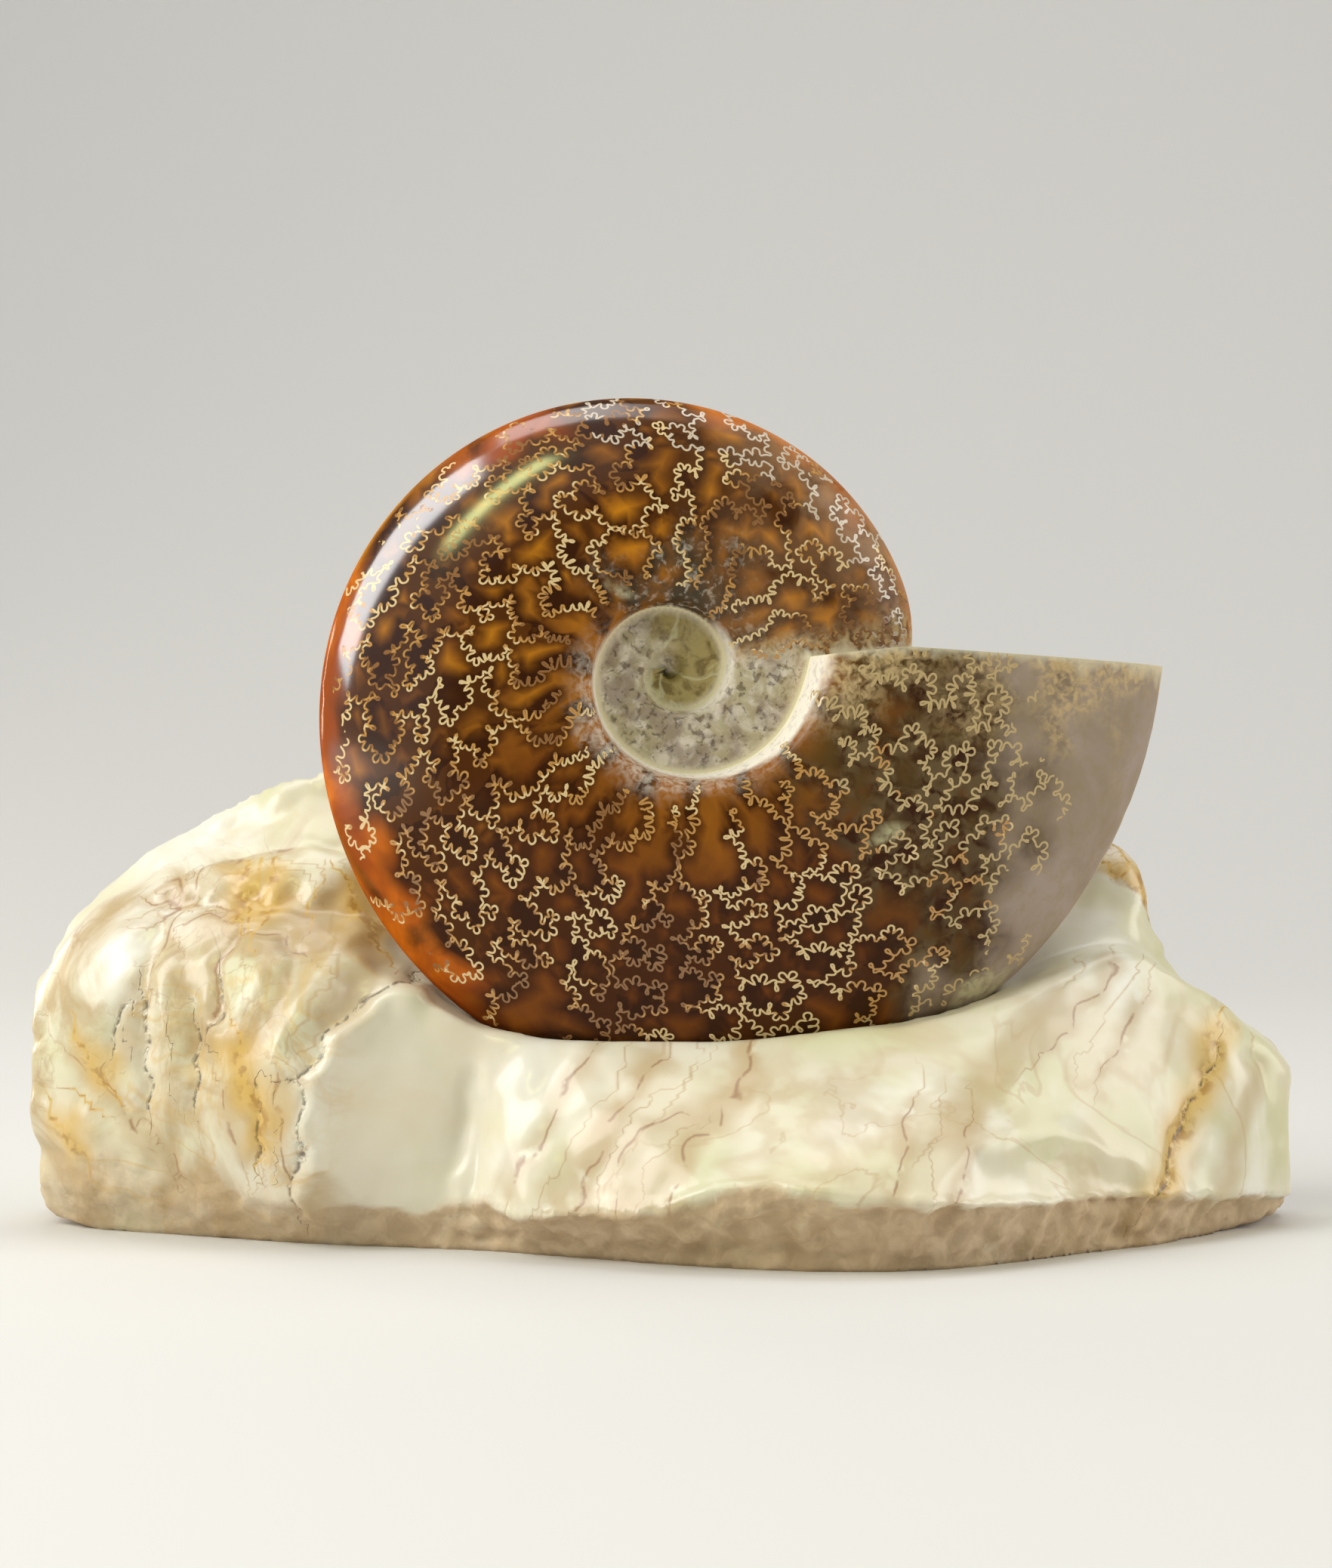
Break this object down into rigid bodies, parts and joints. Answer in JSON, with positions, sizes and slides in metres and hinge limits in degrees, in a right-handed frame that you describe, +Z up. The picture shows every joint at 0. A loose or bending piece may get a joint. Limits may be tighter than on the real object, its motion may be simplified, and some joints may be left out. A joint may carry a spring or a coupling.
{
  "type": "polished ammonite on a stone base",
  "caption": "Polished ammonite with golden suture lines, its mouth sawn flat, standing in a groove of a carved ivory-coloured stone base.",
  "frame": {"origin": "on the ground, under the middle of the whole object's box", "axes": "+X along the stone to the viewer's right, -Y towards the viewer, +Z up"},
  "size_m": [0.2322, 0.0952, 0.1505],
  "materials": {
    "polished_ammonite": "high polish, amber-brown with golden suture lines",
    "ivory_marble": "satin polish on the carved faces, rough round the bottom edge"
  },
  "bodies": {
    "root": {"ammonite": "polished_ammonite", "stone_base": "ivory_marble"}
  },
  "joints": []
}
